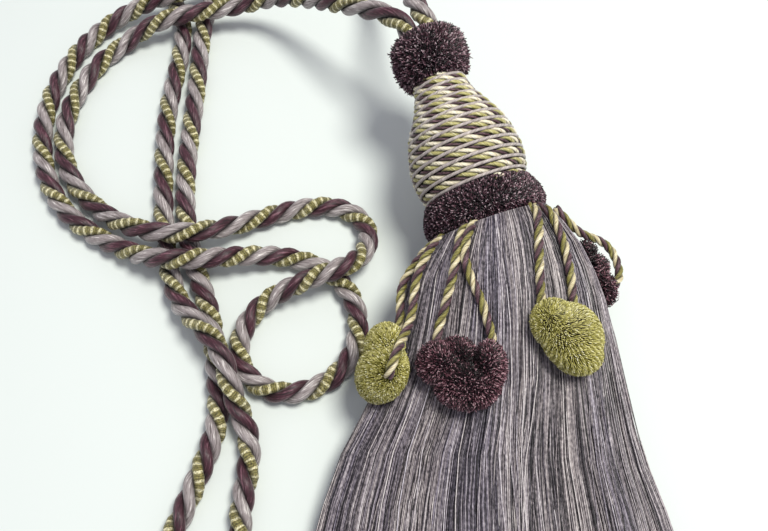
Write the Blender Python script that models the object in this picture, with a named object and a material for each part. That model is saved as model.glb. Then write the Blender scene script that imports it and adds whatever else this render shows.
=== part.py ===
"""Curtain tieback tassel: a doubled three-ply rope laid in its loops, a wound head between two
cut-pile ruffs, a long yarn skirt and four drops of thin cord with pile rosettes.

Metres, +Z up. The tieback lies on the plane Z = 0, its neck towards +Y and its skirt towards -Y.
The origin is under the middle of the tassel's own box, without its cords.
"""

import math

import bmesh
import bpy
import numpy as np

# Driving dimensions
MM = 0.001
ROPE_DIAMETER = 0.011
DROP_CORD_DIAMETER = 0.0044
SETTLED = 0.00002                # the rope's rounding clear of the plane it lies on

# The head's axis: it starts at the middle of the lower ruff and rises towards the neck.
RUFF_CENTRE = np.array([0.001, 0.042, 0.0365])
AXIS_LIFT = math.radians(18.0)   # above the plane it lies on
AXIS_LEAN = math.radians(19.0)   # from +Y towards -X

# Turned pieces, as (place along the axis, radius) in mm
LOWER_RUFF = ((-7.5, 29.5), (-5.5, 31.4), (-2.0, 32.0), (2.5, 31.2), (7.0, 29.0), (10.2, 26.4))
HEAD = (
    (10.5, 25.6), (16.0, 27.6), (22.0, 28.5), (30.0, 28.0), (41.0, 25.3), (50.0, 20.8), (60.0, 15.6), (69.0, 13.2),
)
TOP_RUFF = ((69.3, 13.4), (73.0, 16.6), (79.0, 18.3), (86.0, 18.4), (92.0, 16.8), (95.5, 13.6))
HEAD_TURNS = 13                  # turns of the thick cord round the head
ROWS_PER_TURN = 3
TURN_RISE = 0.7                  # in mm, how far each turn stands above the groove beside it
SHARP = math.radians(50.0)       # edges steeper than this stay crisp

# The skirt's sections from the ruff to the cut end, in mm and degrees. The turn is the heading's
# swing from -Y towards +X, and the dip its slope below the level.
SKIRT_COLUMNS = ("x", "y", "z", "half_width", "half_height", "turn", "dip")
SKIRT_SECTIONS = (
    (3.6, 34.4, 33.9, 29.0, 29.0, 19.0, 18.0),
    (5.5, 21.0, 30.5, 38.5, 30.0, 13.0, 14.0),
    (7.5, 5.0, 27.5, 45.0, 28.5, 4.0, 11.0),
    (8.0, -15.0, 24.0, 49.5, 26.0, 0.0, 9.0),
    (6.0, -50.0, 19.0, 57.0, 20.5, -3.0, 6.0),
    (1.5, -75.0, 16.0, 66.0, 17.5, -3.0, 4.0),
    (0.0, -106.0, 13.2, 75.5, 14.6, 0.0, 2.0),
    (0.0, -133.0, 12.0, 80.0, 13.4, 0.0, 0.0),
)
SKIRT_ROWS = 18
SKIRT_SIDES = 84
# The locks that the yarns gather into: each wave's count round the skirt, its phase and its share.
LOCK_WAVES = ((9, 0.6, 0.40), (14, 2.3, 0.34), (23, 4.1, 0.26))
LOCK_DEPTH = 0.0017              # at the cut end
END_UNEVEN = 0.0035              # how far the ends of the locks differ

# The drops' rosettes: place down the skirt in sections, angle round it from the top towards +X,
# radius, thickness, and the turn of the pad's long side.
ROSETTES = {
    "rosette_olive_left": dict(down=3.60, angle=-70.0, radius=19.0, thick=17.0, long=80.0),
    "rosette_plum_front": dict(down=3.85, angle=-20.0, radius=20.0, thick=14.0, long=0.0),
    "rosette_olive_right": dict(down=3.36, angle=27.0, radius=18.0, thick=15.0, long=20.0),
    "rosette_plum_right": dict(down=1.85, angle=101.0, radius=15.5, thick=15.0, long=90.0),
}
ROSETTE_CLEARANCE = 0.0030
ROSETTE_SIDES = 28
ROSETTE_LATITUDES = (-60.0, -30.0, 0.0, 25.0, 50.0, 72.0)
ROSETTE_BACK = 0.30              # the back's bulge as a share of the thickness
ROSETTE_FACE = 0.62              # the face's bulge
ROSETTE_MIDDLE = 0.28            # how far the widest ring stands off the skirt
TWO_LOBES = 0.07                 # the outline's swell at its two ends
THREE_LOBES = 0.03

# The drops' cords: two legs each, lying on the skirt from the ruff to the rosette, as the angle
# at the ruff, the angle and the place down the skirt at the rosette, and a sideways bow.
DROP_LEGS = {
    "drop_cord_left_1": dict(start=-72.0, end=-68.0, down=3.00, bow=-9.0),
    "drop_cord_left_2": dict(start=-61.0, end=-56.0, down=3.05, bow=4.0),
    "drop_cord_front_1": dict(start=-37.0, end=-36.0, down=3.22, bow=5.0),
    "drop_cord_front_2": dict(start=-27.0, end=-9.0, down=3.35, bow=-4.0),
    "drop_cord_right_1": dict(start=31.0, end=15.5, down=2.75, bow=-4.0),
    "drop_cord_right_2": dict(start=41.0, end=35.0, down=2.70, bow=0.0),
    "drop_cord_back_1": dict(start=99.0, end=102.0, down=1.10, bow=0.0),
}
# The one leg that springs clear of the skirt before it turns in to its rosette, in mm
DROP_FREE_LEG = (
    (36.5, 42.5, 38), (42, 37.5, 35), (48, 34, 30.5), (54.5, 33, 26), (60, 33, 22.5), (65, 31, 20), (68.5, 26, 18.5),
    (70, 20, 17.5), (69.5, 14, 17),
)

# The rope's route in mm, from the neck round the left loops to the far side of the upper bend.
ROUTE_FIRST_ARM = (
    (-35, 128, 66.8), (-38, 133, 68), (-44, 139.5, 67.5), (-57, 151, 61.5), (-74, 166, 51), (-95, 183, 38),
    (-115, 194, 27), (-136, 197, 18.5), (-159, 193, 17.5), (-179, 187.5, 17), (-207, 176.5, 6), (-228, 140, 5.5),
    (-230, 107, 5.5), (-217, 76, 5.5), (-200, 59, 7), (-181, 46, 14), (-161, 40, 17.5), (-143, 41, 17.5),
    (-128, 48, 11), (-88, 62.5, 5.5), (-71, 61.5, 5.5), (-59, 52.5, 5.5), (-56.5, 38.5, 9), (-63, 25, 15),
    (-77, 17, 17.5), (-92, 12, 14), (-110, 3, 8), (-119, -12, 5.5), (-117, -29, 5.5), (-104, -40, 5.5),
    (-84, -40, 5.5), (-66, -26, 5.5), (-61, -6, 5.5), (-67, 13, 5.5), (-88, 29, 5.5), (-127, 28, 14),
    (-144, 25, 17.5), (-160, 25, 17.5), (-180, 33, 10), (-218.8, 58.6, 5.5), (-242, 107, 5.5), (-237.5, 161, 5.5),
    (-216, 194, 7),
)
# Its return: over the upright pair, through the upper bend, down the pair and back to the neck.
ROUTE_SECOND_ARM = (
    (-199, 202, 12), (-183, 206, 16.5), (-167, 212, 17.5), (-152, 223.5, 17.5), (-141, 238, 17.5),
    (-140.5, 255, 15.5), (-151.5, 268.5, 8), (-169, 272, 5.5), (-184.5, 263, 5.5), (-190.5, 247, 5.5),
    (-187, 229, 5.5), (-175, 203, 5.5), (-173, 136, 5.5), (-170.5, 87, 5.5), (-161, 30, 5.5), (-150, 3, 10),
    (-137, -12, 17), (-126, -26, 17.5), (-120, -42, 16), (-111, -66, 5.5), (-112, -104, 5.5), (-108, -125, 5.5),
    (-108, -140.5, 5.5), (-117.5, -152, 5.5), (-132, -155, 5.5), (-145.5, -147, 5.5), (-150, -133, 5.5),
    (-146, -119, 5.5), (-135, -87, 5.5), (-127, -52, 5.5), (-130, -30, 5.5), (-134, -8, 5.5), (-149, 34, 5.5),
    (-156.5, 70, 5.5), (-158.5, 143, 5.5), (-158.5, 205, 5.5), (-145, 243, 5.5), (-126, 251, 5.5), (-92, 246, 6),
    (-64, 229, 17), (-46, 200, 38), (-37, 168, 60), (-31, 146, 69), (-24, 131.5, 67),
)
ROPE_STEP = 0.0275               # between the tube's rings
ROPE_LEAD = 0.004                # the short first and last stretch
DROP_STEP = 0.0095
DROP_LEAD = 0.002
DROP_START = 0.10                # place down the skirt where the legs come out from under the ruff
DROP_GAP = 0.0012                # between a leg and the skirt under it


def axis_frame():
    """The head's axis and two directions square to it: one level, one upward."""
    along = np.array([
        -math.cos(AXIS_LIFT) * math.sin(AXIS_LEAN),
        math.cos(AXIS_LIFT) * math.cos(AXIS_LEAN),
        math.sin(AXIS_LIFT),
    ])
    side = np.array([math.cos(AXIS_LEAN), math.sin(AXIS_LEAN), 0.0])
    return along, side, np.cross(side, along)


def smooth_curve(points, step, lead):
    """Points every step or so along one natural cubic spline through the given points.

    The first and last stretches are a short lead, so that the ends face the way the cord runs.
    """
    points = np.asarray(points, float)
    knots = np.concatenate([[0.0], np.cumsum(np.linalg.norm(np.diff(points, axis=0), axis=1))])
    gaps = np.diff(knots)
    count = len(points)
    matrix = np.eye(count)
    right = np.zeros_like(points)
    slopes = np.diff(points, axis=0) / gaps[:, None]
    for i in range(1, count - 1):
        matrix[i, i - 1:i + 2] = gaps[i - 1], 2.0 * (gaps[i - 1] + gaps[i]), gaps[i]
        right[i] = 6.0 * (slopes[i] - slopes[i - 1])
    bends = np.linalg.solve(matrix, right)
    inner = np.linspace(lead, knots[-1] - lead, max(3, int(round(knots[-1] / step))))
    places = np.concatenate([[0.0], inner, knots[-1:]])
    i = np.clip(np.searchsorted(knots, places, side="right") - 1, 0, count - 2)
    gap = gaps[i][:, None]
    before = (places - knots[i])[:, None] / gap
    after = 1.0 - before
    bend = (after**3 - after) * bends[i] + (before**3 - before) * bends[i + 1]
    return after * points[i] + before * points[i + 1] + bend * gap**2 / 6.0


def skirt_section(down):
    """One row of the skirt's columns at a place between sections, eased with a cubic."""
    table = np.array(SKIRT_SECTIONS)
    last = len(table) - 1
    i = int(min(max(math.floor(down), 0), last - 1))
    part = down - i
    before, first, second, after = (table[min(max(k, 0), last)] for k in (i - 1, i, i + 1, i + 2))
    value = first + 0.5 * part * (
        second - before
        + part * (2 * before - 5 * first + 4 * second - after
                  + part * (3 * (first - second) + after - before))
    )
    return dict(zip(SKIRT_COLUMNS, value))


def lock_height(angle, down):
    """The locks' rise and fall in metres, from none at the ruff to the full depth at the end."""
    share = down / (len(SKIRT_SECTIONS) - 1)
    waves = sum(part * math.sin(count * angle + phase) for count, phase, part in LOCK_WAVES)
    return LOCK_DEPTH * share * waves


def skirt_point(down, angle, lift=0.0):
    """A point on the skirt, lift metres above it. The angle is from the top towards +X."""
    row = skirt_section(down)
    turn = math.radians(row["turn"])
    dip = math.radians(row["dip"])
    heading = np.array([math.cos(dip) * math.sin(turn), -math.cos(dip) * math.cos(turn), -math.sin(dip)])
    side = np.array([math.cos(turn), math.sin(turn), 0.0])
    up = np.cross(heading, side)
    rise = lock_height(angle, down)
    across = math.sin(angle) * (row["half_width"] * MM + rise)
    over = math.cos(angle) * (row["half_height"] * MM + rise)
    centre = np.array([row["x"], row["y"], row["z"]]) * MM
    outward = side * math.sin(angle) / row["half_width"] + up * math.cos(angle) / row["half_height"]
    return centre + side * across + up * over + lift * outward / np.linalg.norm(outward)


def material(name, colour, roughness):
    made = bpy.data.materials.new(name)
    made.use_nodes = True
    shader = made.node_tree.nodes["Principled BSDF"]
    shader.inputs["Base Color"].default_value = (*colour, 1.0)
    shader.inputs["Roughness"].default_value = roughness
    shader.inputs["Metallic"].default_value = 0.0
    made.diffuse_color = (*colour, 1.0)
    return made


def place(name, data, finish, parent):
    made = bpy.data.objects.new(name, data)
    made.data.materials.append(finish)
    made.parent = parent
    bpy.context.scene.collection.objects.link(made)
    return made


def mesh_from_rings(name, rings, first_tip, last_tip):
    """A closed mesh through rings of equal count, each end closed by a fan to its tip."""
    shape = bmesh.new()
    rows = [[shape.verts.new(point) for point in ring] for ring in rings]
    sides = len(rows[0])
    for lower, upper in zip(rows, rows[1:]):
        for i in range(sides):
            j = (i + 1) % sides
            shape.faces.new((lower[i], lower[j], upper[j], upper[i]))
    for ring, tip in ((rows[0], first_tip), (rows[-1], last_tip)):
        centre = shape.verts.new(tip)
        for i in range(sides):
            shape.faces.new((ring[i], ring[(i + 1) % sides], centre))
    bmesh.ops.recalc_face_normals(shape, faces=shape.faces)
    mesh = bpy.data.meshes.new(name)
    shape.to_mesh(mesh)
    shape.free()
    mesh.shade_smooth()
    mesh.set_sharp_from_angle(angle=SHARP)
    return mesh


def turned(name, profile, sides):
    """A solid turned about the head's axis from (place, radius) pairs in mm."""
    along, side, up = axis_frame()
    rings = []
    for place_mm, radius_mm in profile:
        centre = RUFF_CENTRE + along * place_mm * MM
        angles = 2.0 * math.pi * np.arange(sides) / sides
        ring = np.outer(np.cos(angles), up) + np.outer(np.sin(angles), side)
        rings.append(centre + ring * radius_mm * MM)
    tips = (RUFF_CENTRE + along * profile[k][0] * MM for k in (0, -1))
    return mesh_from_rings(name, rings, *tips)


def wound_profile():
    """The head's profile with a rise for each turn of its cord."""
    places, radii = np.array(HEAD).T
    rows = np.linspace(places[0], places[-1], ROWS_PER_TURN * HEAD_TURNS + 1)
    smooth = np.interp(rows, places, radii)
    turn = (rows - places[0]) / (places[-1] - places[0]) * HEAD_TURNS
    return list(zip(rows, smooth + TURN_RISE * (np.sin(math.pi * turn) ** 2 - 0.5)))


def skirt():
    last = len(SKIRT_SECTIONS) - 1
    rings = []
    for row in range(SKIRT_ROWS + 1):
        down = last * row / SKIRT_ROWS
        ring = []
        for i in range(SKIRT_SIDES):
            angle = 2.0 * math.pi * i / SKIRT_SIDES
            point = skirt_point(down, angle)
            if row == SKIRT_ROWS:
                point[1] -= END_UNEVEN * lock_height(3.0 * angle, down) / LOCK_DEPTH
            point[2] = max(point[2], 0.0)
            ring.append(point)
        rings.append(ring)
    centres = [np.mean(ring, axis=0) for ring in (rings[0], rings[-1])]
    return mesh_from_rings("skirt", rings, *centres)


def rosette(name, down, angle, radius, thick, long):
    """A pile pad of two soft lobes, flat on the side that lies against the skirt."""
    angle = math.radians(angle)
    base = skirt_point(down, angle, ROSETTE_CLEARANCE)
    outward = skirt_point(down, angle, 1.0) - skirt_point(down, angle)
    level = np.cross(outward, (0.0, 1.0, 0.0))
    level /= np.linalg.norm(level)
    down_pad = np.cross(level, outward)
    around = 2.0 * math.pi * np.arange(ROSETTE_SIDES) / ROSETTE_SIDES
    lobes = 1.0 + TWO_LOBES * np.cos(2.0 * (around - math.radians(long))) - THREE_LOBES * np.cos(3.0 * around)
    rings = []
    for latitude in np.radians(ROSETTE_LATITUDES):
        reach = radius * MM * math.cos(latitude) * lobes
        bulge = ROSETTE_FACE if latitude > 0.0 else ROSETTE_BACK
        rise = (bulge * math.sin(latitude) + ROSETTE_MIDDLE) * thick * MM
        flat = np.outer(np.cos(around) * reach, level) + np.outer(np.sin(around) * reach, down_pad)
        rings.append(base + flat + outward * rise)
    tips = (np.mean(ring, axis=0) for ring in (rings[0], rings[-1]))
    return mesh_from_rings(name, rings, *tips)


def cord(name, points, diameter, resolution):
    curve = bpy.data.curves.new(name, "CURVE")
    curve.dimensions = "3D"
    curve.bevel_depth = diameter / 2.0
    curve.bevel_resolution = resolution
    curve.use_fill_caps = True
    line = curve.splines.new("POLY")
    line.points.add(len(points) - 1)
    for point, where in zip(line.points, points):
        point.co = (*where, 1.0)
    return curve


def drop_leg(start, end, down, bow):
    """A leg's points on the skirt, from just under the ruff to the rosette's near edge."""
    lift = DROP_CORD_DIAMETER / 2.0 + DROP_GAP
    shares = np.linspace(0.0, 1.0, 15)
    angles = np.radians(start + (end - start) * shares + bow * np.sin(math.pi * shares))
    downs = DROP_START + (down - DROP_START) * shares
    return [skirt_point(d, a, lift) for d, a in zip(downs, angles)]


def build():
    for old in list(bpy.data.objects):
        bpy.data.objects.remove(old, do_unlink=True)
    tassel = bpy.data.objects.new("tassel", None)
    bpy.context.scene.collection.objects.link(tassel)

    plum_pile = material("plum_cut_pile", (0.070, 0.022, 0.040), 0.95)
    olive_pile = material("olive_looped_pile", (0.270, 0.260, 0.045), 0.90)
    wound_cord = material("grey_and_gold_wound_cord", (0.330, 0.270, 0.190), 0.60)
    grey_yarn = material("grey_mauve_yarn", (0.190, 0.165, 0.185), 0.65)
    rope_yarn = material("plum_grey_olive_rope", (0.200, 0.130, 0.120), 0.60)
    drop_yarn = material("olive_cream_drop_cord", (0.300, 0.260, 0.120), 0.60)

    place("lower_ruff", turned("lower_ruff", LOWER_RUFF, 48), plum_pile, tassel)
    place("head", turned("head", wound_profile(), 40), wound_cord, tassel)
    place("top_ruff", turned("top_ruff", TOP_RUFF, 40), plum_pile, tassel)
    place("skirt", skirt(), grey_yarn, tassel)
    for name, shape in ROSETTES.items():
        finish = plum_pile if "plum" in name else olive_pile
        place(name, rosette(name, **shape), finish, tassel)
    for name, leg in DROP_LEGS.items():
        points = smooth_curve(drop_leg(**leg), DROP_STEP, DROP_LEAD)
        place(name, cord(name, points, DROP_CORD_DIAMETER, 2), drop_yarn, tassel)
    free_leg = smooth_curve(np.array(DROP_FREE_LEG) * MM, DROP_STEP, DROP_LEAD)
    place("drop_cord_back_2", cord("drop_cord_back_2", free_leg, DROP_CORD_DIAMETER, 2), drop_yarn, tassel)
    route = smooth_curve(np.array(ROUTE_FIRST_ARM + ROUTE_SECOND_ARM) * MM, ROPE_STEP, ROPE_LEAD)
    route[:, 2] = np.maximum(route[:, 2], ROPE_DIAMETER / 2.0 + SETTLED)
    place("rope", cord("rope", route, ROPE_DIAMETER, 3), rope_yarn, tassel)


build()
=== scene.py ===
# Looks of the curtain tieback tassel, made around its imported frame. Metres, +Z up, as in the frame.
import math

import bpy
import numpy as np
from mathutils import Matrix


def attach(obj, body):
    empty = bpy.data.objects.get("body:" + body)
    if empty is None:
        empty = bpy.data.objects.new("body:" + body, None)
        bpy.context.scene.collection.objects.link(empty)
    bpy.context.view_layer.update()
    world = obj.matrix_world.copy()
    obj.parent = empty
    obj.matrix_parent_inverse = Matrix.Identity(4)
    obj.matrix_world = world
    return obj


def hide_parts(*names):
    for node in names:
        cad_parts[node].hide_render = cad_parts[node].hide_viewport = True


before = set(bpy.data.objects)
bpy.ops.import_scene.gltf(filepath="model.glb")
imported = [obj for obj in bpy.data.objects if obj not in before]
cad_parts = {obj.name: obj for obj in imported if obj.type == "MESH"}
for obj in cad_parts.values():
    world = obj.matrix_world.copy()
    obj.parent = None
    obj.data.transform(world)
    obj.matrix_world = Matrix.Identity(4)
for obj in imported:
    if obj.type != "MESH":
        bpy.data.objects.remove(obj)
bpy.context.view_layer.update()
mm = 0.001
root = "root"
print("frame loaded:", len(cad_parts), "nodes")


# small tools: vectors, curves and meshes

def unit(vectors):
    return vectors / np.linalg.norm(vectors, axis=-1, keepdims=True)


def smoothCurve(points, step):
    # one natural cubic spline through the points, on chord-length knots, read about every step
    points = np.asarray(points, float)
    gaps = np.linalg.norm(np.diff(points, axis=0), axis=1)
    knots = np.concatenate([[0.0], np.cumsum(gaps)])
    inner = np.arange(1, len(points) - 1)
    matrix = np.eye(len(points))
    matrix[inner, inner - 1] = gaps[:-1]
    matrix[inner, inner] = 2 * (gaps[:-1] + gaps[1:])
    matrix[inner, inner + 1] = gaps[1:]
    right = np.zeros_like(points)
    right[1:-1] = 6 * np.diff(np.diff(points, axis=0) / gaps[:, None], axis=0)
    bends = np.linalg.solve(matrix, right)
    places = np.linspace(0, knots[-1], max(3, round(knots[-1] / step)) + 1)
    i = np.clip(np.searchsorted(knots, places, side="right") - 1, 0, len(gaps) - 1)
    gap = gaps[i][:, None]
    before = (places - knots[i])[:, None] / gap
    after = 1 - before
    bend = (after**3 - after) * bends[i] + (before**3 - before) * bends[i + 1]
    return after * points[i] + before * points[i + 1] + bend * gap**2 / 6


def lengthAlong(path):
    # running length of each path, along the last axis but one
    steps = np.linalg.norm(np.diff(path, axis=-2), axis=-1)
    return np.concatenate([np.zeros(steps.shape[:-1] + (1,)), np.cumsum(steps, axis=-1)], axis=-1)


def framesAlong(path, outward):
    # heading, and two directions square to it: over leans to outward, side x over = heading
    heading = unit(np.gradient(path, axis=-2))
    side = unit(np.cross(outward, heading))
    return heading, side, np.cross(heading, side)


def sweep(path, side, over, radius, sides):
    # a round section carried along each path: path + radius * (cos a * side + sin a * over)
    angle = 2 * np.pi * np.arange(sides) / sides
    around = np.cos(angle)[:, None] * side[..., None, :] + np.sin(angle)[:, None] * over[..., None, :]
    radius = np.broadcast_to(radius, path.shape[:-1])
    return path[..., None, :] + radius[..., None, None] * around


def bundle(path, outward, radius, sides, finish=0, tone=0.5, shade=0.0, endFinish=None):
    # tubes along paths of shape (tubes, rows, 3), with what their faces and points carry
    path = np.asarray(path)
    heading, side, over = framesAlong(path, outward)
    rows = path.shape[:2]
    return {
        "grid": sweep(path, side, over, radius, sides),
        "along": lengthAlong(path) / mm,
        "finish": finish,
        "endFinish": finish if endFinish is None else endFinish,
        "tone": np.broadcast_to(tone, rows),
        "shade": np.broadcast_to(shade, rows),
    }


def buildMesh(name, bundles, finishes):
    # joins tubes in one mesh: quads between neighbouring points, one face on each end;
    # UV is (share of the way round, millimetres along)
    points, corners, sizes, finishOf, smooth, spots, tones, shades = ([] for k in range(8))
    first = 0
    for part in bundles:
        grid, along = part["grid"], part["along"]
        tubes, rows, sides = grid.shape[:3]
        index = np.arange(tubes * rows * sides).reshape(tubes, rows, sides) + first
        beside = np.roll(index, -1, axis=2)
        quads = np.stack([index[:, :-1], beside[:, :-1], beside[:, 1:], index[:, 1:]], axis=-1)
        caps = np.stack([index[:, 0, ::-1], index[:, -1]], axis=1)
        place = np.arange(sides) / sides
        here, there = np.broadcast_arrays(along[:, :-1, None], along[:, 1:, None] + 0 * place)
        left, after = np.broadcast_arrays(place, place + 1 / sides + 0 * there)
        quadSpots = np.stack([left, here, after, here, after, there, left, there], axis=-1)
        capSpots = np.stack(np.broadcast_arrays(place, along[:, [0, -1], None]), axis=-1)
        quadCount, capCount = quads.size // 4, 2 * tubes
        points.append(grid.reshape(-1, 3))
        corners += [quads.ravel(), caps.ravel()]
        spots += [quadSpots.reshape(-1, 2), capSpots.reshape(-1, 2)]
        sizes += [np.full(quadCount, 4), np.full(capCount, sides)]
        smooth += [np.ones(quadCount, bool), np.zeros(capCount, bool)]
        capFinish = part.get("endFinish", part["finish"])
        finishOf += [np.full(quadCount, part["finish"]), np.full(capCount, capFinish)]
        tones.append(np.repeat(part["tone"].ravel(), sides))
        shades.append(np.repeat(part["shade"].ravel(), sides))
        first += tubes * rows * sides
    sizes = np.concatenate(sizes)
    mesh = bpy.data.meshes.new(name)
    mesh.vertices.add(first)
    mesh.vertices.foreach_set("co", np.concatenate(points).astype(np.float32).ravel())
    mesh.loops.add(int(sizes.sum()))
    mesh.loops.foreach_set("vertex_index", np.concatenate(corners).astype(np.int32))
    mesh.polygons.add(len(sizes))
    mesh.polygons.foreach_set("loop_start", (np.cumsum(sizes) - sizes).astype(np.int32))
    mesh.polygons.foreach_set("material_index", np.concatenate(finishOf).astype(np.int32))
    mesh.polygons.foreach_set("use_smooth", np.concatenate(smooth))
    lay = mesh.uv_layers.new(name="lay")
    lay.data.foreach_set("uv", np.concatenate(spots).astype(np.float32).ravel())
    for label, values in (("tone", tones), ("shade", shades)):
        attribute = mesh.attributes.new(label, "FLOAT", "POINT")
        attribute.data.foreach_set("value", np.concatenate(values).astype(np.float32))
    mesh.update(calc_edges=True)
    mesh.validate()
    for finish in finishes:
        mesh.materials.append(finish)
    piece = bpy.data.objects.new(name, mesh)
    bpy.context.scene.collection.objects.link(piece)
    print(name, "made:", int((sizes - 2).sum()), "triangles")
    return piece


def ring(sides):
    return (np.arange(sides) * math.tau / sides)[None, :]


def gridPart(grid, along, tone=0.3, shade=0.1):
    # one closed form from its own rows of points, toned evenly
    rows = len(grid)
    return {"grid": grid[None], "along": along[None], "finish": 0,
            "tone": np.full((1, rows), tone), "shade": np.full((1, rows), shade)}


def settle(piece, slotName, *nodes):
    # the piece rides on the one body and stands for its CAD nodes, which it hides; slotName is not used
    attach(piece, root)
    if nodes:
        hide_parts(*nodes)


# materials

def linear(hexColour):
    # sRGB hex to linear light
    part = np.array([int(hexColour[k:k + 2], 16) for k in (1, 3, 5)]) / 255
    light = np.where(part <= 0.04045, part / 12.92, ((part + 0.055) / 1.055) ** 2.4)
    return (*light, 1.0)


def addNode(tree, kind, inputs=None, **settings):
    # one node with its settings; an input is a value or the socket that feeds it
    made = tree.nodes.new(kind)
    for name, value in settings.items():
        setattr(made, name, value)
    for name, value in (inputs or {}).items():
        if isinstance(value, bpy.types.NodeSocket):
            tree.links.new(value, made.inputs[name])
        else:
            made.inputs[name].default_value = value
    return made


def maths(tree, operation, *inputs):
    # one step of arithmetic on values or sockets
    return addNode(tree, "ShaderNodeMath", dict(enumerate(inputs)), operation=operation).outputs[0]


def noise(tree, place, scale, detail, roughness=0.5):
    inputs = {"Vector": place, "Scale": scale, "Detail": detail, "Roughness": roughness}
    return addNode(tree, "ShaderNodeTexNoise", inputs).outputs["Fac"]


def newFinish(name, roughness, sheen, specular=0.3):
    finish = bpy.data.materials.new(name)
    finish.use_nodes = True
    tree = finish.node_tree
    shader = tree.nodes["Principled BSDF"]
    shader.inputs["Roughness"].default_value = roughness
    shader.inputs["Sheen Weight"].default_value = sheen
    shader.inputs["Sheen Roughness"].default_value = 0.4
    shader.inputs["Specular IOR Level"].default_value = specular
    return finish, tree, shader


def ramp(tree, value, stops):
    # colours at places along 0 to 1, as (place, hex)
    made = addNode(tree, "ShaderNodeValToRGB", {"Fac": value})
    stripes = made.color_ramp.elements
    while len(stripes) < len(stops):
        stripes.new(0.5)
    for stripe, (place, colour) in zip(stripes, stops):
        stripe.position = place
        stripe.color = linear(colour)
    return made.outputs["Color"]


def laySpot(tree):
    # how far round its strand a spot is, in turns, and how far along it in mm
    spot = addNode(tree, "ShaderNodeUVMap", uv_map="lay").outputs["UV"]
    split = addNode(tree, "ShaderNodeSeparateXYZ", {0: spot})
    return split.outputs[0], split.outputs[1]


def twistedFibres(tree, radiusMm, fibreMm, leadMm):
    # noise drawn out along fibres that wind round the strand once every leadMm: its coordinates are
    # (cos t, sin t) * radius / fibre with t = 2 pi (around + along / lead), and along / (8 fibres)
    around, along = laySpot(tree)
    angle = maths(tree, "MULTIPLY", maths(tree, "MULTIPLY_ADD", along, 1 / leadMm, around), math.tau)
    waves = [maths(tree, "MULTIPLY", maths(tree, wave, angle), radiusMm / fibreMm)
             for wave in ("COSINE", "SINE")]
    far = maths(tree, "MULTIPLY", along, 1 / (8 * fibreMm))
    place = addNode(tree, "ShaderNodeCombineXYZ", {0: waves[0], 1: waves[1], 2: far}).outputs[0]
    return noise(tree, place, 1.0, 3.0, 0.7), around


grooveReach = (-0.55, 0.85)    # where a ply is all in shade, and where it is all in the light


def groove(tree, around, colour, grooveShadeColour):
    # painted shade: a ply's flanks lie against its neighbours, in their shade, so the colour darkens towards
    # the shade colour as the sine of the way round (1 on the ridge, 0 on the flanks, -1 inside the cord)
    # falls through grooveReach
    ridge = maths(tree, "SINE", maths(tree, "MULTIPLY", around, math.tau))
    lit = addNode(tree, "ShaderNodeMapRange", {0: ridge, 1: grooveReach[0], 2: grooveReach[1]},
                  interpolation_type="SMOOTHSTEP").outputs[0]
    mixed = addNode(tree, "ShaderNodeMix", {0: lit, 6: linear(grooveShadeColour), 7: colour}, data_type="RGBA")
    return mixed.outputs[2]


def emboss(tree, shader, height, strength, distance):
    bump = addNode(tree, "ShaderNodeBump", {"Height": height, "Strength": strength, "Distance": distance})
    tree.links.new(bump.outputs["Normal"], shader.inputs["Normal"])


def plyFinish(name, dark, main, light, grooveShadeColour, radiusMm, fibreMm, leadMm):
    # viscose yarn, spun and twisted: fine fibres run along the ply in uneven tones, their light streaks
    # partly painted glints, drawn a little coarser than they are so that they show; glossy on top, with
    # painted shade on its flanks between plies
    finish, tree, shader = newFinish(name, 0.42, 0.2, 0.5)
    fibres, around = twistedFibres(tree, radiusMm, fibreMm, leadMm)
    colour = ramp(tree, fibres, ((0.34, dark), (0.47, main), (0.55, main), (0.66, light)))
    colour = groove(tree, around, colour, grooveShadeColour)
    tree.links.new(colour, shader.inputs["Base Color"])
    emboss(tree, shader, fibres, 0.9, 0.5 * mm)
    return finish


def gimpFinish(name, values):
    # gimp, a core wrapped with fine thread: olive and cream threads lie side by side, so bands go round it
    # once every band, and each thread shows as a fine rib, with a painted highlight on its crown and painted
    # shade on its flanks and between threads
    finish, tree, shader = newFinish(name, 0.4, 0.15, 0.5)
    around, along = laySpot(tree)
    turns = maths(tree, "MULTIPLY", along, 1 / values["bandMm"])
    place = addNode(tree, "ShaderNodeTexCoord").outputs["Object"]
    wobble = maths(tree, "MULTIPLY_ADD", noise(tree, place, 420.0, 2.0), 0.45, turns)
    olive, light, cream = values["olive"], values["oliveCrownHighlight"], values["cream"]
    edge, dark = values["edge"], values["dark"]
    # painted highlight and shade of the ribs: each olive thread runs dark, olive, lighter, dark; each cream
    # one from flank shade through cream to flank shade
    bands = ramp(tree, maths(tree, "FRACT", wobble), (
        (0.0, dark), (0.06, olive), (0.20, light), (0.29, dark), (0.34, olive), (0.48, light),
        (0.55, dark), (0.60, edge), (0.72, cream), (0.84, cream), (0.94, edge), (1.0, dark)))
    grey = ramp(tree, noise(tree, place, 1500.0, 1.0), ((0.30, "#8c8c8c"), (0.62, "#ffffff")))
    specked = addNode(tree, "ShaderNodeMix", {0: 1.0, 6: bands, 7: grey}, data_type="RGBA",
                      blend_type="MULTIPLY")
    colour = groove(tree, around, specked.outputs[2], values["grooveShadeColour"])
    tree.links.new(colour, shader.inputs["Base Color"])
    rib = maths(tree, "SINE", maths(tree, "MULTIPLY", turns, math.tau * values["threads"]))
    emboss(tree, shader, rib, 0.8, 0.12 * mm)
    return finish


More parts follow.
